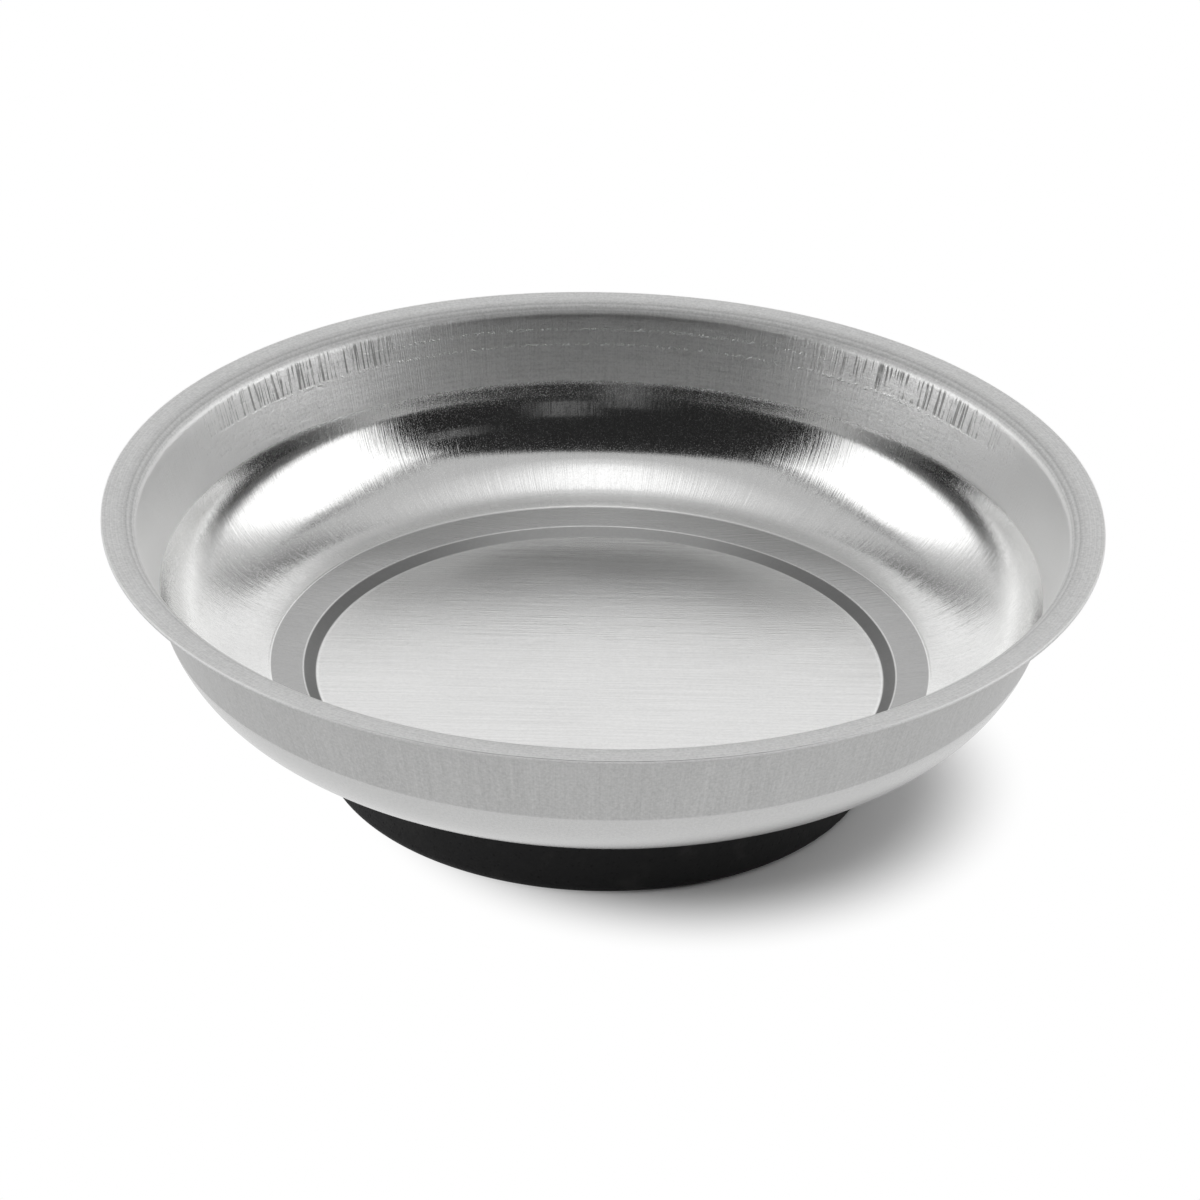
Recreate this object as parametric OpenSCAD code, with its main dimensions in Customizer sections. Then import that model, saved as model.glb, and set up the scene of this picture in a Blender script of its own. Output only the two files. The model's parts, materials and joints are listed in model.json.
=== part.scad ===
// Magnetic parts tray: a pressed steel bowl on a rubber boot with a magnet pack inside.
// Millimetres, +Z up, origin on the axis at the underside of the boot.

/* [Overall] */
// Outside diameter of the lip
rim_d = 150; // [140:1:180]
// Height from the ground to the edge of the lip
tray_h = 42; // [38:0.5:50]

/* [Bowl] */
// Thickness of the steel sheet
sheet_t = 0.6; // [0.4:0.1:1]
// Straight width of the lip, measured along the sheet
lip_flat = 2.75; // [2:0.25:5]
// Rise of the lip towards its edge, in degrees
lip_flare_deg = 2; // [0:1:10]
// Radius under the bend between wall and lip
lip_bend_r = 2.3; // [1:0.1:3.5]
// Lean of the upper wall from upright, in degrees
wall_lean_deg = 18; // [14:0.5:22]
// Height of the crease between the upper wall and the corner
crease_h = 28; // [25:0.1:30]
// Width of the rounded corner between crease and floor
corner_w = 15.7; // [14:0.1:17]
// Width of the sloped band between the corner and the step
band_w = 5.1; // [4:0.1:7]
// Width of the step around the floor disc
step_w = 1.8; // [1.4:0.1:3]
// Slope where the corner leaves the floor, in degrees
corner_start_deg = 3.5; // [1:0.5:5]
// Slope of the band between step and corner, in degrees
band_slope_deg = 9.5; // [6:0.5:12]
// Slope of the step around the floor disc, in degrees
step_slope_deg = 28; // [15:1:32]
// Bend radius of the steps in the floor
step_bend_r = 0.8; // [0.4:0.1:1.2]

/* [Boot] */
// Distance from the edge of the floor disc to the outside of the boot
boot_inset = 1; // [0.4:0.1:3]
// Height of the boot, from the ground to the floor disc
boot_h = 13.4; // [12:0.1:14.5]
// Radius of the lower edge of the boot
boot_edge_r = 1.5; // [0.5:0.1:2.5]
// Thickness of the boot wall
boot_wall_t = 2; // [1.5:0.1:4]
// Thickness of the boot floor
boot_floor_t = 1.6; // [1:0.1:2.5]

/* [Magnet pack] */
// Thickness of each adhesive pad
bond_t = 0.6; // [0.5:0.1:1]
// Distance from the edge of a plate to the edge of an adhesive pad
bond_inset = 2; // [1:0.5:6]
// Thickness of each pole plate
plate_t = 1.8; // [1:0.1:2.5]
// Clearance between pole plates and boot wall
plate_clear = 0.5; // [0.3:0.1:1]
// Distance from the edge of a plate to the edge of the magnet
magnet_inset = 1.5; // [0.5:0.5:5]
// Bore of the ring magnet as a share of its outside diameter
magnet_bore_share = 0.42; // [0.35:0.01:0.55]
// Clearance between the bush and the ring magnet
bush_clear = 0.3; // [0.2:0.1:0.6]
// Outside diameter of the rivet shank
rivet_d = 9; // [7:0.5:11]
// Clearance between the rivet shank and the plates and bush
rivet_clear = 0.15; // [0.1:0.05:0.3]
// Wall of the hollow rivet
rivet_wall_t = 1; // [0.6:0.1:1.5]
// Diameter of the rivet heads
rivet_head_d = 15; // [13:0.5:17]
// Thickness of the rivet heads
rivet_head_t = 0.5; // [0.3:0.1:0.5]
// Clearance between a rivet head and the adhesive pad around it
head_clear = 1; // [0.5:0.25:2]

/* [Hidden] */
$fn = 180;
// Length by which a cut runs past the piece it cuts
overrun = 2;
// Straight pieces in each bend of the floor, in the rounded corner and in the bend of the lip
bend_steps = 3;
corner_steps = 16;
lip_steps = 8;

rim_r = rim_d / 2;

// Along a path in the section: forward at a heading, and to its right, where the sheet lies
function ahead(deg) = [cos(deg), sin(deg)];
function right(deg) = [sin(deg), -cos(deg)];

// Headings of the sheet from the axis outwards
wall_deg = 90 - wall_lean_deg;

// Lip and upper wall, worked back from the edge of the lip to the crease
lip_r = lip_bend_r + sheet_t;
lip_end = [rim_r - sheet_t * sin(lip_flare_deg), tray_h];
lip_start = lip_end - lip_flat * ahead(lip_flare_deg);
lip_centre = lip_start + lip_r * right(lip_flare_deg);
wall_end = lip_centre - lip_r * right(wall_deg);
crease_r = wall_end[0] - (wall_end[1] - crease_h) / tan(wall_deg);
crease = [crease_r, crease_h];

// Radii inwards from the crease, down to the wall of the boot
floor_r = crease_r - corner_w;
step_r = floor_r - band_w;
disc_r = step_r - step_w;
boot_r = disc_r - boot_inset;
cavity_r = boot_r - boot_wall_t;

// Floor: disc, step and sloped band, each bend starting half a turn short of its corner
disc_z = boot_h + sheet_t;
step_z = disc_z + (step_r - disc_r) * tan(step_slope_deg);
floor_z = step_z + (floor_r - step_r) * tan(band_slope_deg);
disc_cut = step_bend_r * tan(step_slope_deg / 2);
step_cut = (step_bend_r + sheet_t) * tan((step_slope_deg - band_slope_deg) / 2);
edge_cut = (step_bend_r + sheet_t) * tan((band_slope_deg - corner_start_deg) / 2);
disc_end = [disc_r - disc_cut, disc_z];
step_end = [step_r, step_z] - step_cut * ahead(step_slope_deg);
band_end = [floor_r, floor_z] - edge_cut * ahead(band_slope_deg);
corner_start = [floor_r, floor_z] + edge_cut * ahead(corner_start_deg);
disc_centre = disc_end - step_bend_r * right(0);
step_centre = step_end + (step_bend_r + sheet_t) * right(step_slope_deg);
edge_centre = band_end + (step_bend_r + sheet_t) * right(band_slope_deg);

// Corner: the arc that leaves the floor at its own slope and ends on the crease
chord = crease - corner_start;
chord_deg = atan2(chord[1], chord[0]);
corner_deg = 2 * chord_deg - corner_start_deg;
corner_r = norm(chord) / (2 * sin((corner_deg - corner_start_deg) / 2));
corner_centre = corner_start - corner_r * right(corner_start_deg);

// Heights through the magnet pack, from the ground up
plate_lower_z = boot_floor_t + bond_t;
magnet_z = plate_lower_z + plate_t;
plate_upper_z = boot_h - bond_t - plate_t;
bond_upper_z = boot_h - bond_t;
magnet_h = plate_upper_z - magnet_z;

plate_r = cavity_r - plate_clear;
bond_r = plate_r - bond_inset;
bond_hole_r = rivet_head_d / 2 + head_clear;
magnet_r = plate_r - magnet_inset;
magnet_bore_r = magnet_bore_share * magnet_r;
rivet_r = rivet_d / 2;
shank_hole_r = rivet_r + rivet_clear;

// Points of a bend, on a circle between two directions from its centre
function bend(centre, r, deg_from, deg_to, steps) =
    [for (i = [0 : steps]) centre + r * ahead(deg_from + (deg_to - deg_from) * i / steps)];

// One face of the sheet from the axis to the lip: depth 0 is the inside face, depth sheet_t the outside face
function sheet_face(depth) = concat(
    [[0, disc_z - depth]],
    bend(disc_centre, step_bend_r + depth, -90, step_slope_deg - 90, bend_steps),
    bend(step_centre, step_bend_r + sheet_t - depth, step_slope_deg + 90, band_slope_deg + 90, bend_steps),
    bend(edge_centre, step_bend_r + sheet_t - depth, band_slope_deg + 90, corner_start_deg + 90, bend_steps),
    bend(corner_centre, corner_r + depth, corner_start_deg - 90, corner_deg - 90, corner_steps),
    bend(lip_centre, lip_r - depth, wall_deg + 90, lip_flare_deg + 90, lip_steps),
    [lip_end + depth * right(lip_flare_deg)]);

// The same face from the lip back to the axis
function turned_back(points) = [for (i = [1 : len(points)]) points[len(points) - i]];

module bowl() {
    color("silver")
        rotate_extrude()
            polygon(concat(sheet_face(sheet_t), turned_back(sheet_face(0))));
}

// Half section of the boot before its cavity is cut: a block with one rounded corner
module boot_section() {
    square([boot_r - boot_edge_r, boot_h]);
    translate([0, boot_edge_r])
        square([boot_r, boot_h - boot_edge_r]);
    translate([boot_r - boot_edge_r, boot_edge_r])
        circle(r = boot_edge_r);
}

module boot() {
    color("dimgray")
        difference() {
            rotate_extrude()
                boot_section();
            translate([0, 0, boot_floor_t])
                cylinder(r = cavity_r, h = boot_h - boot_floor_t + overrun);
        }
}

// A flat ring standing on a given height
module flat_ring(r_out, r_in, z, h) {
    translate([0, 0, z])
        difference() {
            cylinder(r = r_out, h = h);
            translate([0, 0, -overrun])
                cylinder(r = r_in, h = h + 2 * overrun);
        }
}

module bond_upper() {
    color("gray")
        flat_ring(bond_r, bond_hole_r, bond_upper_z, bond_t);
}

module plate_upper() {
    color("lightsteelblue")
        flat_ring(plate_r, shank_hole_r, plate_upper_z, plate_t);
}

module magnet_ring() {
    color("black")
        flat_ring(magnet_r, magnet_bore_r, magnet_z, magnet_h);
}

module bush() {
    color("white")
        flat_ring(magnet_bore_r - bush_clear, shank_hole_r, magnet_z, magnet_h);
}

module plate_lower() {
    color("lightsteelblue")
        flat_ring(plate_r, shank_hole_r, plate_lower_z, plate_t);
}

// Hollow rivet: a tube through both plates with a head on each side
module rivet() {
    head_r = rivet_head_d / 2;
    color("goldenrod")
        difference() {
            union() {
                translate([0, 0, plate_lower_z - rivet_head_t])
                    cylinder(r = head_r, h = rivet_head_t);
                translate([0, 0, plate_lower_z - rivet_head_t])
                    cylinder(r = rivet_r, h = plate_upper_z + plate_t - plate_lower_z + 2 * rivet_head_t);
                translate([0, 0, plate_upper_z + plate_t])
                    cylinder(r = head_r, h = rivet_head_t);
            }
            translate([0, 0, plate_lower_z - rivet_head_t - overrun])
                cylinder(r = rivet_r - rivet_wall_t, h = boot_h + 2 * overrun);
        }
}

module bond_lower() {
    color("gray")
        flat_ring(bond_r, bond_hole_r, boot_floor_t, bond_t);
}

bowl();
boot();
bond_upper();
plate_upper();
magnet_ring();
bush();
plate_lower();
rivet();
bond_lower();
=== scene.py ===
# %% [markdown]
# # A magnetic parts tray
# The real tray is a dish pressed from one stainless sheet, standing on a black rubber boot that hides a
# ring magnet. The CAD model is the fixed frame: it gives every size, and this lesson dresses it. Bare metal
# shows mostly what stands around it, so the surfaces have to be smooth and the studio has to be built with
# care.

# %% Load the frame
import json
import math

import bpy
import numpy as np
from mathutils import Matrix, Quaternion, Vector


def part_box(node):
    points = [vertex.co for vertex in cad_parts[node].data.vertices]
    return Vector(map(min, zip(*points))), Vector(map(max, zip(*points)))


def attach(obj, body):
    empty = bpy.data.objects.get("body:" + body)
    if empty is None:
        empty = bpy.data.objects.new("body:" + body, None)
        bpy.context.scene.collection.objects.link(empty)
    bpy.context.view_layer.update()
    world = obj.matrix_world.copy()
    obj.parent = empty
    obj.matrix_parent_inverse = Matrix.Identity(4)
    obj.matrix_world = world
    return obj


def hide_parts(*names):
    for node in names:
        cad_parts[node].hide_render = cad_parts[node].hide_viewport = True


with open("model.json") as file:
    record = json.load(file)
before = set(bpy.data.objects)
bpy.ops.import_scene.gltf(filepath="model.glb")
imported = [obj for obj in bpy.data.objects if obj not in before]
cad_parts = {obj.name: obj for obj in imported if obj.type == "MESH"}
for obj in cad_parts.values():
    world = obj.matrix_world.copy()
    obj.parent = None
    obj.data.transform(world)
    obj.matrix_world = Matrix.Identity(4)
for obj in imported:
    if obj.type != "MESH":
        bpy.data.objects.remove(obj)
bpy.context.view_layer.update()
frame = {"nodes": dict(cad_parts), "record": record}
# Metres in a millimetre: Blender works in metres here, and the sizes of the tray are in millimetres
MM = 0.001
print("frame nodes:", sorted(frame["nodes"]))

# %% [markdown]
# ## Turned surfaces
# Every visible piece of this tray is round, so one function makes them all: a closed profile is carried
# around the axis. A screw modifier could do the same, but working the grid out in numpy keeps the profile
# exact, closes the poles, and lets each row carry its own numbers for the material to read.

# %% Turned surface
TURNS = 420


def add_piece(name, points, faces, marks=None, smooth=False):
    """A new object from an array of points in metres and lists of corner numbers. marks gives one number per
    point for each named attribute."""
    mesh = bpy.data.meshes.new(name)
    mesh.from_pydata(points.tolist(), [], faces, shade_flat=not smooth)
    for mark, values in (marks or {}).items():
        layer = mesh.attributes.new(mark, "FLOAT", "POINT")
        layer.data.foreach_set("value", values.astype(np.float32))
    mesh.update()
    piece = bpy.data.objects.new(name, mesh)
    bpy.context.scene.collection.objects.link(piece)
    print(name, "has", len(mesh.polygons), "faces")
    return piece


def ring_quads(rows, turns):
    """Faces of a grid whose rows close on themselves. Point (i, j) has the number i * turns + j, and each
    face joins (i, j), (i, j + 1), (i + 1, j + 1) and (i + 1, j)."""
    here = np.arange(turns)
    after = np.roll(here, -1)
    row = np.arange(rows - 1)[:, None] * turns
    corners = [row + here, row + after, row + turns + after, row + turns + here]
    return np.stack(corners, axis=-1).reshape(-1, 4)


def turned(name, profile, marks, wobble):
    """A surface of revolution. Row i of the profile (radius, height) in mm is carried round the axis:
    point(i, a) = (radius * cos a, radius * sin a, height). The first and the last row have radius 0 and
    become one pole point each. The profile runs with the solid on its left, so the faces point outwards.
    marks gives one number per row for each named attribute, and wobble(radius, height, a) returns small
    changes of radius and height."""
    rows = profile[1:-1]
    count = len(rows)
    radius = np.repeat(rows[:, :1], TURNS, axis=1)
    height = np.repeat(rows[:, 1:], TURNS, axis=1)
    turn = np.broadcast_to(np.arange(TURNS) * 2 * math.pi / TURNS, radius.shape)
    dr, dz = wobble(radius, height, turn)
    radius, height = radius + dr, height + dz
    grid = np.stack([radius * np.cos(turn), radius * np.sin(turn), height], axis=-1)
    poles = np.array([[0, 0, profile[0, 1]], [0, 0, profile[-1, 1]]])
    points = np.concatenate([grid.reshape(-1, 3), poles]) * MM
    here = np.arange(TURNS)
    after = np.roll(here, -1)
    first_pole, last_pole, last_row = count * TURNS, count * TURNS + 1, (count - 1) * TURNS
    first_fan = np.stack([np.full(TURNS, first_pole), after, here], axis=-1)
    last_fan = np.stack([np.full(TURNS, last_pole), last_row + here, last_row + after], axis=-1)
    faces = ring_quads(count, TURNS).tolist() + first_fan.tolist() + last_fan.tolist()
    spread = {mark: np.concatenate([np.repeat(values[1:-1], TURNS), values[[0, -1]]])
              for mark, values in marks.items()}
    return add_piece(name, points, faces, spread, smooth=True)


# %% [markdown]
# ## Lines and arcs
# The section of a pressed sheet is a chain of straight runs and bends, as a toolmaker draws the die for it.
# A curve with handles could trace it, but each bend has an exact radius, so the stretches are worked out
# one by one.


# %% Lines and arcs
def tan(deg):
    """Tangent of an angle in degrees: how far a slope rises per step outwards."""
    return math.tan(math.radians(deg))


def ahead(deg):
    """The unit step at a heading in the section, 0 being outwards and 90 up."""
    return np.array([math.cos(math.radians(deg)), math.sin(math.radians(deg))])


def right(deg):
    """The unit step to the right of a heading, which is the side on which the sheet lies."""
    return np.array([math.sin(math.radians(deg)), -math.cos(math.radians(deg))])


def line(start, stop, count):
    """Points spread evenly from start to stop."""
    start, stop = np.array(start, float), np.array(stop, float)
    return start + np.linspace(0, 1, count)[:, None] * (stop - start)


def arc(centre, radius, deg_from, deg_to, count):
    """Points on a circle: centre + radius * (cos, sin) between two directions."""
    a = np.radians(np.linspace(deg_from, deg_to, count))
    return centre + radius * np.stack([np.cos(a), np.sin(a)], axis=-1)


print("heading 90 goes", ahead(90).round(3), "and its right side is", right(90).round(3))

# %% [markdown]
# ## The pressed bowl
# One blank of sheet is drawn over a die: a flat disc in the middle sits on the boot, a low step and a
# sloped band surround it, a wide rounded corner leads up to a crease, and the upper wall ends in a flared
# lip. The outer sizes come from the frame, and the others repeat the sizes and the formulas of the CAD
# section.

# %% Sizes of the bowl
low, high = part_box("bowl")
RIM_R = (high[0] - low[0]) / 2 / MM
TRAY_H = high[2] / MM
BOOT_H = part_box("boot")[1][2] / MM
SHEET = 0.6
# Headings of the lip, the wall, the step, the band and the start of the corner, in degrees
FLARE, WALL, STEP, BAND, START = 2, 72, 28, 9.5, 3.5
# Length of the lip, and the radii of the bends under it and beside the step
LIP_FLAT, LIP_BEND, STEP_BEND = 2.75, 2.3, 0.8
# Height of the crease, and the widths of the corner, the band and the step
CREASE_H, CORNER_W, BAND_W, STEP_W = 28.0, 15.7, 5.1, 1.8

lip_end = np.array([RIM_R - SHEET * math.sin(math.radians(FLARE)), TRAY_H])
lip_start = lip_end - LIP_FLAT * ahead(FLARE)
lip_centre = lip_start + (LIP_BEND + SHEET) * right(FLARE)
wall_end = lip_centre - (LIP_BEND + SHEET) * right(WALL)
crease = np.array([wall_end[0] - (wall_end[1] - CREASE_H) / tan(WALL), CREASE_H])
floor_r = crease[0] - CORNER_W
step_r = floor_r - BAND_W
disc_r = step_r - STEP_W
disc_edge = np.array([disc_r, BOOT_H + SHEET])
step_edge = np.array([step_r, disc_edge[1] + STEP_W * tan(STEP)])
floor_edge = np.array([floor_r, step_edge[1] + BAND_W * tan(BAND)])
disc_cut = STEP_BEND * tan(STEP / 2)
step_cut = (STEP_BEND + SHEET) * tan((STEP - BAND) / 2)
edge_cut = (STEP_BEND + SHEET) * tan((BAND - START) / 2)
corner_start = floor_edge + edge_cut * ahead(START)
chord = crease - corner_start
corner_deg = 2 * math.degrees(math.atan2(chord[1], chord[0])) - START
corner_r = np.hypot(*chord) / (2 * math.sin(math.radians((corner_deg - START) / 2)))
print("corner radius %.2f mm, crease at radius %.2f mm" % (corner_r, crease[0]))

# %% [markdown]
# Each face of the sheet is one chain of stretches. It is finer than the CAD mesh, because a facet that is
# too small to see still breaks a reflection. Smooth shading would soften the crease, so the corner stops
# just short of it and the wall starts with a very short run. A bevel or a sharp edge could hold it too, but
# two more rows cost nothing.

# %% Faces of the sheet
CREASE_GAP_DEG, CREASE_RUN = 0.6, 0.15
SAME_POINT = 1e-4


def sheet_face(depth, fine):
    """One face of the sheet, from the axis to the lip: the inside face moved to its right by depth. The
    number of points on each stretch grows with fine."""
    hollow_r, crown_r = STEP_BEND + depth, STEP_BEND + SHEET - depth
    disc_end = disc_edge - disc_cut * ahead(0)
    step_end = step_edge - step_cut * ahead(STEP)
    band_end = floor_edge - edge_cut * ahead(BAND)
    wall_low = crease + depth * right(corner_deg)
    wall_next = wall_low + CREASE_RUN * ahead(WALL)
    path = np.concatenate([
        line((0, disc_edge[1] - depth), disc_end + depth * right(0), 8 * fine),
        arc(disc_end - STEP_BEND * right(0), hollow_r, -90, STEP - 90, 4 * fine),
        line(disc_edge + disc_cut * ahead(STEP), step_end, 3 * fine) + depth * right(STEP),
        arc(step_end + (STEP_BEND + SHEET) * right(STEP), crown_r, STEP + 90, BAND + 90, 4 * fine),
        line(step_edge + step_cut * ahead(BAND), band_end, 4 * fine) + depth * right(BAND),
        arc(band_end + (STEP_BEND + SHEET) * right(BAND), crown_r, BAND + 90, START + 90, 3 * fine),
        arc(corner_start - corner_r * right(START), corner_r + depth,
            START - 90, corner_deg - CREASE_GAP_DEG - 90, 20 * fine),
        line(wall_low, wall_next, 2),
        line(wall_next, wall_end + depth * right(WALL), 7 * fine),
        arc(lip_centre, LIP_BEND + SHEET - depth, WALL + 90, FLARE + 90, 7 * fine),
        line(lip_start, lip_end, 5 * fine) + depth * right(FLARE),
    ])
    return path[np.r_[True, np.hypot(*np.diff(path, axis=0).T) > SAME_POINT]]


inside, outside = sheet_face(0, 2), sheet_face(SHEET, 1)
print("points on the inside face %d, on the outside face %d" % (len(inside), len(outside)))

# %% [markdown]
# A sheet that has been through a press is never quite true. The lip waves by a few hundredths of a
# millimetre and the wall is slightly oval, which is enough to make reflections swim a little. A
# displacement map could do it, but two slow sine waves say exactly what happens. The cut edge of the lip is
# rounded, as it is after tumbling.

# %% Bowl
BURR, BURR_POINTS = 0.12, 5
WALL_WAVE, LIP_WAVE = 0.05, 0.035


def press_wobble(radius, height, turn):
    """Changes of radius and height, in mm: slow sine waves round the axis that grow towards the lip. Each
    sum of waves has its largest value taken off, so that the sheet never passes its CAD size."""
    up = np.clip((height - BOOT_H) / (TRAY_H - BOOT_H), 0, 1)
    dr = WALL_WAVE * up * (np.sin(2 * turn + 0.7) + 0.5 * np.sin(5 * turn + 2.1) - 1.5)
    dz = LIP_WAVE * up ** 3 * (np.sin(3 * turn + 1.2) + 0.6 * np.sin(7 * turn) - 1.6)
    return dr, dz


def run_along(path):
    """The length along a path from its start to each of its points."""
    return np.cumsum(np.r_[0, np.hypot(*np.diff(path, axis=0).T)])


burr_from = lip_end - BURR * ahead(FLARE)
edge_top = arc(burr_from + BURR * right(FLARE), BURR, FLARE + 90, FLARE, BURR_POINTS)
edge_low = arc(burr_from + (SHEET - BURR) * right(FLARE), BURR, FLARE, FLARE - 90, BURR_POINTS)
section = np.concatenate([outside[:-1], edge_low[::-1], edge_top[::-1], inside[-2::-1]])

along_in, along_out = run_along(inside), run_along(outside)
sheet_run = float(along_in[-1])
along_out = along_out * sheet_run / along_out[-1]
along = np.concatenate([along_out[:-1], np.full(2 * BURR_POINTS, sheet_run), along_in[-2::-1]])
is_inside = np.repeat([0.0, 1.0], [len(outside) - 1 + BURR_POINTS, BURR_POINTS + len(inside) - 1])

bowl = turned("bowl_sheet", section, {"along": along, "inside": is_inside}, press_wobble)
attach(bowl, "root")
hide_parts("bowl")
print("sheet runs %.1f mm from axis to edge" % sheet_run)

# %% [markdown]
# ## The rubber boot
# The boot is a shallow moulded cup glued under the bowl. A cylinder with bevelled edges would nearly do,
# but rubber shrinks a little when it cools, so its wall draws in at mid height, and its lower edge is
# rounded so that it leaves the mould. The function for turned pieces takes both from one profile.

# %% Boot
low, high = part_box("boot")
BOOT_R = (high[0] - low[0]) / 2 / MM
LOW_EDGE, TOP_EDGE, BOOT_WALL, BOOT_FLOOR = 1.5, 0.3, 2.0, 1.6
# Depth of the outer skin that moves, and how far it moves
SKIN, DRAW_IN, SKIN_WAVE = 0.6, 0.12, 0.03


def boot_wobble(radius, height, turn):
    """Changes of radius and height, in mm: the wall draws in a little at mid height and waves round the
    axis, with the largest value of the wave taken off."""
    outer_skin = np.clip((radius - BOOT_R + SKIN) / SKIN, 0, 1)
    waist = np.sin(math.pi * np.clip(height / BOOT_H, 0, 1)) ** 2
    dr = outer_skin * (SKIN_WAVE * np.sin(4 * turn + 0.4) - SKIN_WAVE - DRAW_IN * waist)
    return dr, np.zeros_like(dr)


cavity_r = BOOT_R - BOOT_WALL
boot_section = np.concatenate([
    line((0, 0), (BOOT_R - LOW_EDGE, 0), 14),
    arc((BOOT_R - LOW_EDGE, LOW_EDGE), LOW_EDGE, -90, 0, 12)[1:],
    line((BOOT_R, LOW_EDGE), (BOOT_R, BOOT_H - TOP_EDGE), 14)[1:],
    arc((BOOT_R - TOP_EDGE, BOOT_H - TOP_EDGE), TOP_EDGE, 0, 90, 5)[1:],
    line((BOOT_R - TOP_EDGE, BOOT_H), (cavity_r, BOOT_H), 4)[1:],
    line((cavity_r, BOOT_H), (cavity_r, BOOT_FLOOR), 6)[1:],
    line((cavity_r, BOOT_FLOOR), (0, BOOT_FLOOR), 8)[1:],
])
boot = turned("boot_cup", boot_section, {}, boot_wobble)
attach(boot, "root")
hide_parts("boot")

# %% [markdown]
# ## Wires for the shader
# A finish is a small sum of patterns. Dragged together from nodes it is hard to read, so a socket is
# wrapped in a class whose arithmetic adds the Math nodes, and one method adds any other node.


# %% Wire class
class Wire:
    """One output socket of a node tree. Arithmetic on wires adds Math nodes to that tree."""

    def __init__(self, tree, socket=None):
        self.tree, self.socket = tree, socket

    def node(self, kind, settings=None, inputs=None, output=0):
        """Adds a node of any type: its settings first, then the values or links of its sockets."""
        made = self.tree.nodes.new(kind)
        for name, value in (settings or {}).items():
            setattr(made, name, value)
        for name, value in (inputs or {}).items():
            if isinstance(value, Wire):
                self.tree.links.new(value.socket, made.inputs[name])
            else:
                made.inputs[name].default_value = value
        return Wire(self.tree, made.outputs[output])

    def math(self, operation, *values):
        """Adds a Math node on numbers and wires."""
        return self.node("ShaderNodeMath", {"operation": operation}, dict(enumerate(values)))

    def __add__(self, other):
        return self.math("ADD", self, other)

    def __sub__(self, other):
        return self.math("SUBTRACT", self, other)

    def __rsub__(self, other):
        return self.math("SUBTRACT", other, self)

    def __mul__(self, other):
        return self.math("MULTIPLY", self, other)

    def __truediv__(self, other):
        return self.math("DIVIDE", self, other)

    def __rtruediv__(self, other):
        return self.math("DIVIDE", other, self)

    __radd__, __rmul__ = __add__, __mul__

    def rise(self, low, high):
        """0 below low, 1 above high, smooth in between; swap low and high for a fall."""
        up = low < high
        return self.node("ShaderNodeMapRange", {"interpolation_type": "SMOOTHSTEP"}, {
            0: self, 1: min(low, high), 2: max(low, high), 3: 0.0 if up else 1.0, 4: 1.0 if up else 0.0})

    def blend(self, colour_a, colour_b):
        """Colour a where this wire is 0, colour b where it is 1."""
        return self.node("ShaderNodeMix", {"data_type": "RGBA"}, {0: self, 6: colour_a, 7: colour_b}, 2)

    def noise(self, scale=1.0, detail=2.0, rough=0.5):
        """Noise from this vector, spread about 0."""
        return self.node("ShaderNodeTexNoise", None, {
            "Vector": self, "Scale": scale, "Detail": detail, "Roughness": rough}) - 0.5

    def bump(self, strength, depth_mm):
        """A normal that makes this wire look like a height of up to depth_mm."""
        return self.node("ShaderNodeBump", None, {
            "Strength": strength, "Distance": depth_mm * MM, "Height": self})

    def part(self, index):
        """One of the three numbers of this vector."""
        return self.node("ShaderNodeSeparateXYZ", None, {0: self}, index)

    def attribute(self, name):
        """A number that the mesh stores at each point."""
        return self.node("ShaderNodeAttribute", {"attribute_name": name}, None, "Fac")


print("wire methods:", [name for name in vars(Wire) if not name.startswith("_")])

# %% [markdown]
# Every finish here starts from one Principled shader, which covers metal, rubber and plastic alike. Values
# that are the same all over are set on it, and those that change are linked. Patterns read the place on the
# object in millimetres, so that a scale of 2 means two waves per millimetre.


# %% Helpers for finishes
def grey(level):
    """An opaque neutral colour."""
    return level, level, level, 1


def vector(x, y, z):
    """A vector wire from numbers and wires."""
    some = next(value for value in (x, y, z) if isinstance(value, Wire))
    return some.node("ShaderNodeCombineXYZ", None, {0: x, 1: y, 2: z})


def finish(name, **fixed):
    """A material with one Principled shader, its even values set on the shader itself."""
    material = bpy.data.materials.new(name)
    material.use_nodes = True
    shader = material.node_tree.nodes["Principled BSDF"]
    for socket, value in fixed.items():
        shader.inputs[socket.replace("_", " ")].default_value = value
    return material, shader, Wire(material.node_tree)


def feed(shader, **wires):
    """Links wires to the named sockets of a shader."""
    for socket, wire in wires.items():
        wire.tree.links.new(wire.socket, shader.inputs[socket.replace("_", " ")])


def place(start):
    """Object coordinates in mm."""
    spot = start.node("ShaderNodeTexCoord", None, None, "Object")
    return spot.node("ShaderNodeVectorMath", {"operation": "SCALE"}, {0: spot, "Scale": 1 / MM})


# %% [markdown]
# ## Drawn stainless steel
# Pressing leaves zones in the sheet: the disc keeps the straight grain of the rolling mill, the corner is
# polished, the upper wall is satin, and the lip, which the press held, is duller still. Painted masks could
# mark the zones, but the bowl stores how far each point lies along the sheet, so a zone is a stretch
# between two places on it.

# %% Steel zones
steel, shader, start = finish("drawn_steel")
run, inner = start.attribute("along"), start.attribute("inside")
outer = 1 - inner
spot = place(start)
x, y = spot.part(0), spot.part(1)
spoke = x.node("ShaderNodeVectorMath", {"operation": "NORMALIZE"}, {0: vector(x, y, 0.0)})
across, rear = spoke.part(0), spoke.part(1)
beside = across.math("ABSOLUTE", across)

# Places along the sheet, in mm from the axis: both ends of the step, the corner, the crease and the lip
DISC_RIM = 0.2
step_low, step_high, corner_run, crease_run = np.interp(
    [disc_r - DISC_RIM, step_r, floor_r, crease[0]], inside[:, 0], along_in).tolist()
lip_run = sheet_run - LIP_FLAT


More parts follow.
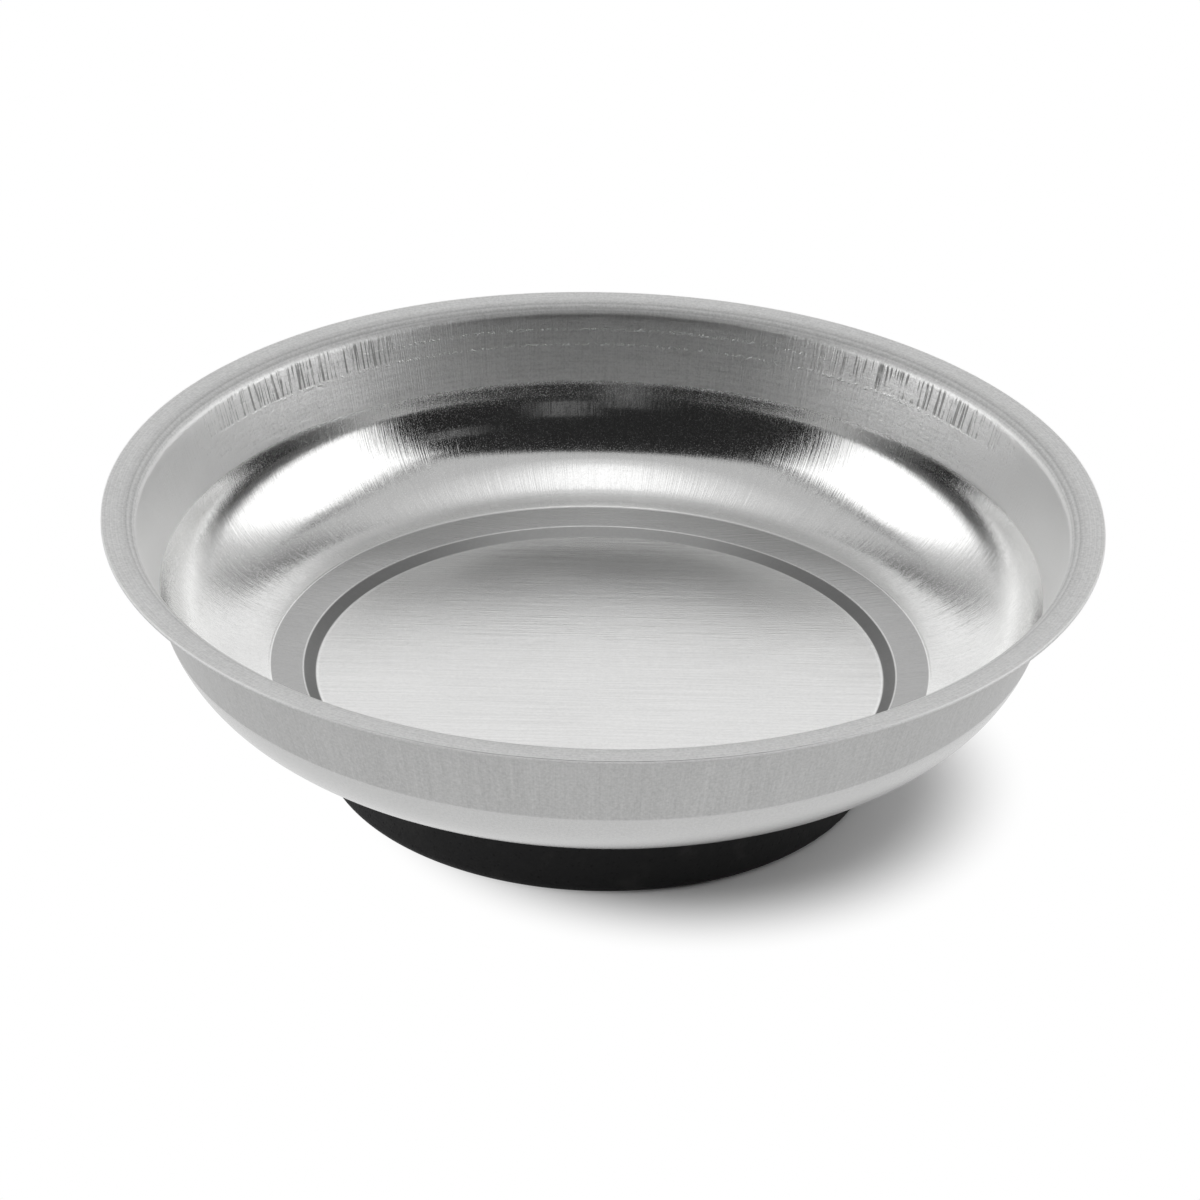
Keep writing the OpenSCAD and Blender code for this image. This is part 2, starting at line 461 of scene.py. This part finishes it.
def stretch(low, low_full, high_full, high):
    """1 on a stretch of the sheet, fading in and out between places that are given in mm along it."""
    return run.rise(low, low_full) * run.rise(high, high_full)


# Each zone starts and stops some tenths of a millimetre beside one of those places
flat = run.rise(corner_run + 2.0, corner_run - 0.5)
disc = run.rise(step_low, step_low - 0.5) * inner
step = stretch(step_low, step_low + 0.3, step_high - 0.15, step_high + 0.15) * inner
slope = stretch(step_high, step_high + 0.3, corner_run - 0.2, corner_run) * inner
# The seam mask is a small ridge in the relief and, in the tone, a painted highlight along the floor edge
seam = stretch(corner_run - 0.3, corner_run, corner_run, corner_run + 0.3) * inner
upper = (inner * run.rise(crease_run + 1.3, crease_run + 2.9)
         + outer * run.rise(crease_run - 0.25, crease_run + 0.25))
lip = run.rise(lip_run - 3.3, lip_run - 2.0)
bend = stretch(lip_run - 3.3, lip_run - 2.5, lip_run - 0.8, lip_run + 0.6) * inner
# Painted highlight: the cut edge of the lip is lightened, for the glint that it catches
edge = run.rise(sheet_run - 0.14, sheet_run - 0.04)
wall = (1 - flat) * (1 - lip)
band = upper * (1 - lip)
print("steel zones at %.1f, %.1f, %.1f, %.1f, %.1f mm along the sheet" % (
    step_low, step_high, corner_run, crease_run, lip_run))

# %% [markdown]
# Marks run the way the metal moved: up the wall where it was drawn, round the axis where the die rubbed it,
# straight across the disc where it was only rolled. Below the lip the press left scuffs and rows of short
# dashes. A picture of scratched steel would repeat and blur. Noise stretched along the sheet stays sharp,
# and as it is spread about zero, a zone can fade it in without a ridge along its border.

# %% Steel marks
FACE_SHIFT = 17.0


def spokes(count, length, seed):
    """A vector for marks that run along the sheet: about count waves per radian round the axis, stretched to
    a length in mm along it. The two faces lie FACE_SHIFT apart, so that they share no mark."""
    ring = spoke.node("ShaderNodeVectorMath", {"operation": "SCALE"}, {0: spoke, "Scale": float(count)})
    return ring.node("ShaderNodeVectorMath", {"operation": "ADD"}, {
        0: ring, 1: vector(0.0, 0.0, run / length + seed + inner * FACE_SHIFT)})


draw_fine = spokes(count=300, length=9.0, seed=3.0).noise(detail=3.0, rough=0.6)
draw_wide = spokes(count=60, length=20.0, seed=40.0).noise()
hoops = spokes(count=9, length=0.5, seed=60.0).noise(detail=3.0, rough=0.6)
grain = vector(x / 26.0, y * 3.2, inner * 9.0).noise(detail=3.0, rough=0.65)
grain_wide = vector(x / 60.0, y * 0.8, inner * 5.0 + 3.0).noise()
lines = vector(run * 2.2, inner * 7.0, 0.0).noise()
cloud = spot.noise(scale=0.06)
speckle = spot.noise(scale=2.4, detail=3.0, rough=0.65)
pepper = spot.noise(scale=6.0, rough=0.7)
grit = pepper.rise(0.04, 0.16) * inner * (1 - flat) * (1 - upper)

# Scuffs at the rear left and right and two rows of dashes at the rear, a few millimetres below the lip
scuff_sides = beside.rise(0.4, 0.6) * beside.rise(0.95, 0.8) * rear.rise(0.1, 0.3) * inner
scuff_zone = scuff_sides * stretch(lip_run - 7.7, lip_run - 7.2, lip_run - 3.6, lip_run - 2.8)
scuffs = (spokes(count=150, length=9.0, seed=80.0).noise().rise(0.02, 0.1)
          * spokes(count=14, length=4.0, seed=90.0).noise().rise(-0.2, -0.02) * scuff_zone)
dash = spokes(count=130, length=0.5, seed=120.0).noise(rough=0.6).rise(0.0, 0.12) * inner
low_row = rear.rise(0.5, 0.75) * stretch(lip_run - 8.1, lip_run - 7.8, lip_run - 7.7, lip_run - 7.4)
high_row = rear.rise(0.75, 0.95) * stretch(lip_run - 5.6, lip_run - 5.4, lip_run - 5.2, lip_run - 5.0)
dashes = dash * (low_row + high_row)
print("steel patterns use", len(steel.node_tree.nodes), "nodes")

# %% [markdown]
# Each mark works in three ways: it lifts the surface by a few hundredths of a millimetre, it dulls the
# gloss and it shades the colour. An even roughness with one bump is quicker to make and looks like chrome
# plate. The outside is duller, because the die rubbed it, and darker as painted shade for the shaded floor
# that it mirrors. Deep scratches on the lip throw light in all directions, so it is a little less metallic
# than the rest. Some tones are painted light: shade in the step ring and on the outside, and highlights on
# the far sides, along the floor edge and on the cut edge of the lip.

# %% Steel finish
STEEL = (0.86, 0.86, 0.855, 1)
MARK_DEPTH = 0.03

# Every number below is the weight of one pattern in one zone
marks = (wall * (draw_fine * 0.65 + draw_wide * 0.35) + flat * (grain * 0.6 + grain_wide * 0.15)
         + lip * (hoops * 0.3 + draw_fine * 0.2 + lines * 0.5))
relief = (marks + speckle * (0.1 + band * 1.1 + lip * 0.8) + pepper * (0.06 + band * 0.24)
          + band * (draw_fine + hoops * inner * 0.5) - scuffs * 1.2 + seam * 0.8 + dashes * 1.5)
dull = (0.1 + flat * 0.05 + disc * 0.05 + lip * 0.3 + bend * 0.2 + step * 0.24
        + band * (0.27 + outer * 0.06) + outer * (1 - upper) * 0.16
        + marks * 0.06 + cloud * 0.04 + scuffs * 0.2 + grit * 0.2)

mark_tone = marks * 0.26 * (inner * 0.7 + upper * (0.6 + outer * 0.9))
# The seam and edge terms here are painted highlights, the rest is the tone of the marks
pattern_tone_and_glints = (0.94 + mark_tone + speckle * (0.2 + band * 0.35 + lip * 0.4) + cloud * 0.1
                + band * inner * hoops * 0.4 + seam * 0.15 + dashes * 0.3 + lip * lines * 0.5
                + edge * 0.3 + disc * grain * 0.2)
# Painted highlight: the upper inner wall at the far left and right is lightened, for the bright reflection it
# shows there
painted_side_highlight = band * inner * beside.rise(0.7, 0.98)
# Painted shade: the step ring is darkened, more so at the sides, for the light lost between its facing bends
step_painted_shade = step * (0.8 + beside.rise(0.3, 0.75) * 0.2)
# Painted shade: the outside is darker all round, and a little more on its upper band, for the shaded floor
# and dark room that it mirrors
zone_tone_and_painted_light = ((1 - lip * 0.17) * (1 + painted_side_highlight * 0.2) * (1 - outer * (band * 0.09 + 0.38))
             * (1 - step_painted_shade * 0.72) * (1 - disc * 0.08) * (1 - slope * (0.28 + beside * 0.22))
             * (1 - scuffs * 0.5))

feed(shader, Base_Color=(pattern_tone_and_glints * zone_tone_and_painted_light).blend(grey(0.0), STEEL), Roughness=dull,
     Metallic=1 - lip * 0.45, Normal=relief.bump(1.0, MARK_DEPTH))
bowl.data.materials.append(steel)
print(steel.name, "has", len(steel.node_tree.nodes), "nodes")

# %% [markdown]
# ## Moulded rubber
# Black rubber is never quite black: it is a dark grey with a soft sheen, fine pits from the mould, and a
# little dust. Pits could be modelled, but at this size a bump is enough. A noise makes the mould grain and
# a Voronoi pattern makes the pits.

# %% Rubber
RUBBER, RUBBER_DUSTY = (0.007, 0.007, 0.0075, 1), (0.026, 0.0255, 0.025, 1)
PIT_DEPTH = 0.08

rubber, shader, start = finish("moulded_rubber", Specular_IOR_Level=0.25)
spot = place(start)
skin = spot.noise(scale=2.6, detail=4.0, rough=0.6)
cells = spot.node("ShaderNodeTexVoronoi", None, {"Vector": spot, "Scale": 1.1, "Randomness": 1.0}, "Distance")
pits = cells.rise(0.28, 0.12)
dust = spot.noise(scale=0.18, detail=3.0, rough=0.6).rise(-0.05, 0.25)
tone = (dust * 0.5 + skin * 0.3).rise(-0.05, 0.75)
feed(shader, Base_Color=tone.blend(RUBBER, RUBBER_DUSTY), Roughness=0.68 + skin * 0.25 + pits * 0.1,
     Normal=(skin * 0.7 - pits * 0.6).bump(0.6, PIT_DEPTH))
boot.data.materials.append(rubber)
print(rubber.name, "has", len(rubber.node_tree.nodes), "nodes")

# %% [markdown]
# ## The hidden pack
# Foam pads, pole plates, ring magnet, bush and rivet never show in a photograph, but the part can be taken
# apart, so each keeps its CAD mesh and gets a finish of its own. One even colour each would do, but foam,
# zinc and ferrite differ by their grain, so one function mixes two colours by a noise of the right size.


# %% Finishes of the pack
def plain_finish(name, dark, pale, grain_mm, rough, bump_mm, **fixed):
    """A finish of two colours mixed by noise of a given grain size, with a bump of the same noise."""
    material, shader, start = finish(name, **fixed)
    spot = place(start)
    fine = spot.noise(1 / grain_mm, 3.0, 0.6)
    broad = spot.noise(0.15 / grain_mm)
    tone = (fine * 0.6 + broad * 0.4).rise(-0.2, 0.2)
    feed(shader, Base_Color=tone.blend((*dark, 1), (*pale, 1)), Roughness=rough + fine * 0.25,
         Normal=fine.bump(0.5, bump_mm))
    return material


pack_finishes = {
    "foam": plain_finish("pad_foam", dark=(0.24, 0.24, 0.25), pale=(0.40, 0.40, 0.41),
                         grain_mm=0.5, rough=0.9, bump_mm=0.12),
    "pole_steel": plain_finish("zinc_plate", dark=(0.45, 0.46, 0.49), pale=(0.62, 0.63, 0.66),
                               grain_mm=1.5, rough=0.35, bump_mm=0.02, Metallic=1.0),
    "ferrite": plain_finish("ferrite_ceramic", dark=(0.04, 0.04, 0.042), pale=(0.085, 0.085, 0.09),
                            grain_mm=0.4, rough=0.7, bump_mm=0.03),
    "bush_plastic": plain_finish("natural_nylon", dark=(0.78, 0.77, 0.73), pale=(0.88, 0.87, 0.84),
                                 grain_mm=2.0, rough=0.45, bump_mm=0.01),
    "rivet_brass": plain_finish("rivet_brass", dark=(0.66, 0.48, 0.20), pale=(0.80, 0.62, 0.32),
                                grain_mm=0.8, rough=0.3, bump_mm=0.01, Metallic=1.0),
}
slot_of = {part["node"]: part["material_slot"] for part in frame["record"]["subparts"]}
for node, piece in frame["nodes"].items():
    if slot_of[node] in pack_finishes:
        piece.data.materials.clear()
        piece.data.materials.append(pack_finishes[slot_of[node]])
print("pack finishes:", sorted(pack_finishes))

# %% [markdown]
# ## Floor
# The tray stands on a white sweep, of which only the soft shadow beside the boot can be seen. More light
# could burn the floor white, but it would burn the steel too. So the floor is pale and takes the shadow
# near the boot, and further out it is exactly white for the rays that show it, and for no others. It lies a
# little under the boot and is clear from below, so that the underside of the boot can be looked at.

# %% Floor
# Radius in metres, and the distance under the boot in mm
FLOOR_R, FLOOR_DROP = 6.0, 0.1
FLOOR_PALE = 0.94
# Middle of the shadow, and the distances between which it fades out, in mm
SHADOW_MIDDLE, SHADOW_NEAR, SHADOW_FAR = (14, -6, 0), 32.0, 52.0


def round_patch(name, radius, level, rings=24, turns=96):
    """A flat disc as a polar grid: point(i, a) = radius * (i / rings)^2 * (cos a, sin a), at one level."""
    reach = radius * (np.arange(1, rings + 1) / rings) ** 2
    turn = np.arange(turns) * 2 * math.pi / turns
    grid = [np.outer(reach, np.cos(turn)), np.outer(reach, np.sin(turn)), np.full((rings, turns), level)]
    upwards = ring_quads(rings, turns)[:, ::-1].tolist()
    patch = add_piece(name, np.stack(grid, axis=-1).reshape(-1, 3), [list(range(turns))] + upwards)
    return patch


def seen_rays(start):
    """1 for the rays that show the background: from the camera, off metal and through glass."""
    camera_ray, glossy_ray, through_ray = (
        start.node("ShaderNodeLightPath", None, None, name)
        for name in ("Is Camera Ray", "Is Glossy Ray", "Is Transmission Ray"))
    return start.math("MAXIMUM", camera_ray, start.math("MAXIMUM", glossy_ray, through_ray))


floor = round_patch("floor", FLOOR_R, -FLOOR_DROP * MM)
sweep, shader, start = finish("white_sweep", Base_Color=grey(FLOOR_PALE), Roughness=0.9,
                              Specular_IOR_Level=0.0)
spot = place(start)
away = spot.node("ShaderNodeVectorMath", {"operation": "DISTANCE"}, {0: spot, 1: SHADOW_MIDDLE}, "Value")
white = start.node("ShaderNodeEmission", None, {"Color": grey(1.0), "Strength": 1.0})
pale = Wire(start.tree, shader.outputs[0])
shown_white = seen_rays(start) * away.rise(SHADOW_NEAR, SHADOW_FAR)
top = start.node("ShaderNodeMixShader", None, {0: shown_white, 1: pale, 2: white})
below = start.node("ShaderNodeNewGeometry", None, None, "Backfacing")
clear = start.node("ShaderNodeBsdfTransparent")
sides = start.node("ShaderNodeMixShader", None, {0: below, 1: top, 2: clear})
start.tree.links.new(sides.socket, start.tree.nodes["Material Output"].inputs["Surface"])
floor.data.materials.append(sweep)
print(sweep.name, "is white from %.0f mm off the middle of the shadow" % SHADOW_FAR)

# %% [markdown]
# ## Studio
# Bare steel shows the room. Its reflections in the photograph tell how that room was lit: a tall white
# panel on each side with a dark seam above it, one long lamp overhead in a grey ceiling, a dark side where
# the camera stands, and a grey gap between each panel and the white background. An image of a studio could
# do the same, but plain cards, which the camera itself does not see, can be moved one at a time.

# %% Cards
CARD_GREY = 0.02
# How much a fading card loses across its width, and on top of that towards its top
FADE_ACROSS, FADE_UP = 0.35, 0.5


def card_paint(name, level, fades=False):
    """A card that shines at one grey level, or darkens across its width, and more so towards its top."""
    material, shader, start = finish(name, Base_Color=grey(CARD_GREY), Roughness=1.0, Specular_IOR_Level=0.0,
                                     Emission_Color=grey(level), Emission_Strength=1.0)
    if fades:
        width, height = start.attribute("width"), start.attribute("height")
        glow = level - width * FADE_ACROSS - width * height * FADE_UP
        feed(shader, Emission_Color=glow.blend(grey(0.0), grey(1.0)))
    return material


def compass(azimuth, distance, height):
    """A point by its direction from the camera side (0 towards the camera, 90 to the right), in metres."""
    a = math.radians(azimuth)
    return np.array([distance * math.sin(a), -distance * math.cos(a), height])


def around(low_a, high_a, low_b, high_b):
    """The four corners of a rectangle in two measures, in turn."""
    return [(low_a, low_b), (high_a, low_b), (high_a, high_b), (low_a, high_b)]


def card(name, corners, material, steps=6):
    """A four-cornered sheet: point(u, v) mixes two corners by u on each of two edges, and the edges by v."""
    a, b, c, d = (np.asarray(corner, float) for corner in corners)
    u, v = np.meshgrid(np.linspace(0, 1, steps), np.linspace(0, 1, steps))
    u, v = u[..., None], v[..., None]
    grid = (a + u * (b - a)) * (1 - v) + (d + u * (c - d)) * v
    here = (np.arange(steps - 1)[:, None] * steps + np.arange(steps - 1)).reshape(-1)
    quads = np.stack([here, here + 1, here + steps + 1, here + steps], axis=-1)
    shares = {"width": u.reshape(-1), "height": v.reshape(-1)}
    sheet = add_piece(name, grid.reshape(-1, 3), quads.tolist(), shares)
    sheet.data.materials.append(material)
    sheet.visible_camera = False


# %% [markdown]
# The cards stand where the steel shows them. Their places were found by following the camera's rays off the
# bowl to the edges of each reflection. They could stand nearer and be smaller, but at the distance of a
# real room they look right from every side.

# %% Cards in place
# Places in metres from the tray, and directions in degrees from the camera side
CEILING, FRONT, SIDE, BACK = 4.8, 1.9, 1.8, 2.6
DARK_HALF, DARK_TOP = 3.6, 5.4
ROOF_HALF, ROOF_NEAR, ROOF_FAR = 4.0, -1.7, 5.4
GAP_FROM, GAP_TO_LOW, GAP_TO_HIGH, GAP_TOP = 120, 132, 164, 2.7
SEAM_SIDE, SEAM_NEAR, SEAM_FAR, SEAM_LOW, SEAM_TOP = 1.85, -1.1, 1.7, 2.44, 2.78
# Pale shapes before the dark side: name, direction, half width, lowest and highest angle above the ground
STANDS = (("stand_a", -5, 2.5, 6, 23), ("stand_b", 12, 3.5, 16, 32), ("stand_c", 47, 4, 32, 40))
STAND_GAP = 0.03
stand_reach = FRONT - STAND_GAP

dark = card_paint("dark_room", 0.006)
ceiling_grey = card_paint("grey_ceiling", 0.56)
gap_grey = card_paint("grey_gap", 0.8, True)
haze = card_paint("camera_stand", 0.2)
seam_grey = card_paint("panel_seam", 0.2)
card("front_dark", [(x, -FRONT, z) for x, z in around(-DARK_HALF, DARK_HALF, 0, DARK_TOP)], dark)
card("ceiling", [(x, y, CEILING) for x, y in around(-ROOF_HALF, ROOF_HALF, ROOF_NEAR, ROOF_FAR)],
     ceiling_grey)
for side, sign in (("left", -1), ("right", 1)):
    gap_corners = [(GAP_FROM, 0), (GAP_TO_LOW, 0), (GAP_TO_HIGH, GAP_TOP), (GAP_FROM, GAP_TOP)]
    card("gap_" + side, [compass(sign * azimuth, BACK, z) for azimuth, z in gap_corners], gap_grey)
    seam_corners = around(SEAM_NEAR, SEAM_FAR, SEAM_LOW, SEAM_TOP)
    card("seam_" + side, [(sign * SEAM_SIDE, y, z) for y, z in seam_corners], seam_grey)
for name, azimuth, half, bottom, top in STANDS:
    card(name, [compass(azimuth + turn, stand_reach, stand_reach * tan(above))
                for turn, above in around(-half, half, bottom, top)], haze)

# %% [markdown]
# The panels and the lamp overhead are area lamps, because a point or a spot lamp shows in steel as a dot.
# Each has the size and shape of its reflection. A lamp adds its light to the white room behind it, so a
# faint one is already brighter than the room, and the tray is lit at a plain level. The wide halo around
# the lamp softens its edge.


# %% Lamps
def panel(name, size, where, towards, level, shape="RECTANGLE"):
    """An area lamp of a width and height in metres, placed and turned to a point; level is its brightness."""
    lamp = bpy.data.lights.new(name, "AREA")
    lamp.shape, lamp.size, lamp.size_y = shape, *size
    area = size[0] * size[1] * (math.pi / 4 if shape == "ELLIPSE" else 1)
    lamp.energy = level * math.pi * area
    box = bpy.data.objects.new(name, lamp)
    box.location = where
    box.rotation_euler = (Vector(towards) - Vector(where)).to_track_quat("-Z", "Y").to_euler()
    box.visible_camera = False
    bpy.context.scene.collection.objects.link(box)
    print(name, "gives %.1f watts" % lamp.energy)


panel("panel_left", (1.66, 2.28), (-SIDE, 0.17, 1.14), (0, 0.17, 1.14), level=0.5)
panel("panel_right", (1.84, 2.36), (SIDE, 0.1, 1.18), (0, 0.1, 1.18), level=0.45)
panel("lamp_top", (0.82, 1.8), (0, 0.62, 2.9), (0, 0.62, 0), level=0.5, shape="ELLIPSE")
panel("lamp_halo", (1.9, 2.6), (0, 0.7, 3.0), (0, 0.7, 0), level=0.2, shape="ELLIPSE")

# %% [markdown]
# ## The white room
# Around the cards all is white, as behind the tray in the photograph. An image could fill the world, but an
# even white needs none. The rays that show the background see it at a strength of 1, which is white, and
# the light that the room gives to rubber and floor is a little weaker.

# %% World
ROOM_LIGHT, ROOM_WHITE = 0.85, 1.0
world = bpy.data.worlds.new("studio")
world.use_nodes = True
bpy.context.scene.world = world
tree = world.node_tree
tree.nodes.clear()
start = Wire(tree)
dim, white = (start.node("ShaderNodeBackground", None, {"Color": grey(1.0), "Strength": strength})
              for strength in (ROOM_LIGHT, ROOM_WHITE))
sky = start.node("ShaderNodeMixShader", None, {0: seen_rays(start), 1: dim, 2: white})
tree.links.new(sky.socket, tree.nodes.new("ShaderNodeOutputWorld").inputs["Surface"])
print("the room lights at %.2f and shows at %.2f" % (ROOM_LIGHT, ROOM_WHITE))

# %% [markdown]
# ## Camera
# The photograph was taken from about 0.83 m, 29 degrees above the ground, with the camera turned by about
# one degree. A camera could be lined up by eye, but these numbers come from fitting the rim, the floor
# circles and the outline of the tray, which settles the distance too.

# %% Camera
ELEVATION, DISTANCE, ROLL = 28.73, 0.83, 1.32
AIM = Vector((-0.0002, 0, 0.0262))
LENS, SENSOR, CLIP = 165.0, 36.0, 0.01
view = bpy.data.cameras.new("camera")
view.lens, view.sensor_width, view.clip_start = LENS, SENSOR, CLIP
camera = bpy.data.objects.new("camera", view)
tilt = math.radians(ELEVATION)
camera.location = AIM + DISTANCE * Vector((0, -math.cos(tilt), math.sin(tilt)))
camera.rotation_mode = "QUATERNION"
facing = (AIM - camera.location).to_track_quat("-Z", "Y")
camera.rotation_quaternion = facing @ Quaternion((0, 0, 1), math.radians(ROLL))
bpy.context.scene.collection.objects.link(camera)
bpy.context.scene.camera = camera
bpy.context.scene.view_settings.view_transform = "Standard"
print("camera at", [round(value, 3) for value in camera.location])

# %% [markdown]
# ## Sizes
# A dressed part still has to fit where the CAD part fits.
